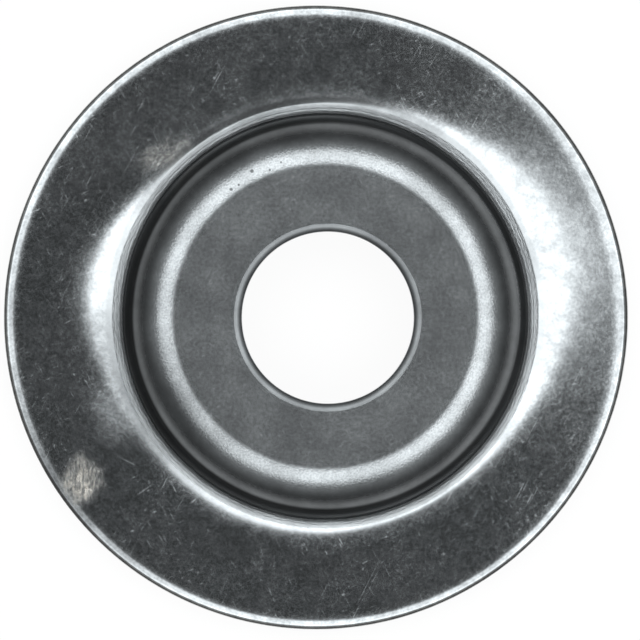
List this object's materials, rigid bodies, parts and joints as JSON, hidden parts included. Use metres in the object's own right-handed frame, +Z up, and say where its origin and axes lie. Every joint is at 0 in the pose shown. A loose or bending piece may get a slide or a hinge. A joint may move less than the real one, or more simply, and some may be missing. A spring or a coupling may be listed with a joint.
{
  "type": "centering washer",
  "caption": "Round pressed-steel washer with a raised boss that centres a tube or ring, a wide flange round it and a bolt hole through its top.",
  "frame": {"origin": "centre of the outer edge, on the plane that the underside of the flange lies on", "axes": "+Z up along the washer's axis, out of the boss's flat top; +X towards the side where the flange is narrower"},
  "size_m": [0.03, 0.03, 0.0047],
  "materials": {
    "plated_steel": "satin zinc plate, lightly scratched, frosted round the boss's shoulder"
  },
  "bodies": {
    "root": {"washer": "plated_steel"}
  },
  "joints": []
}
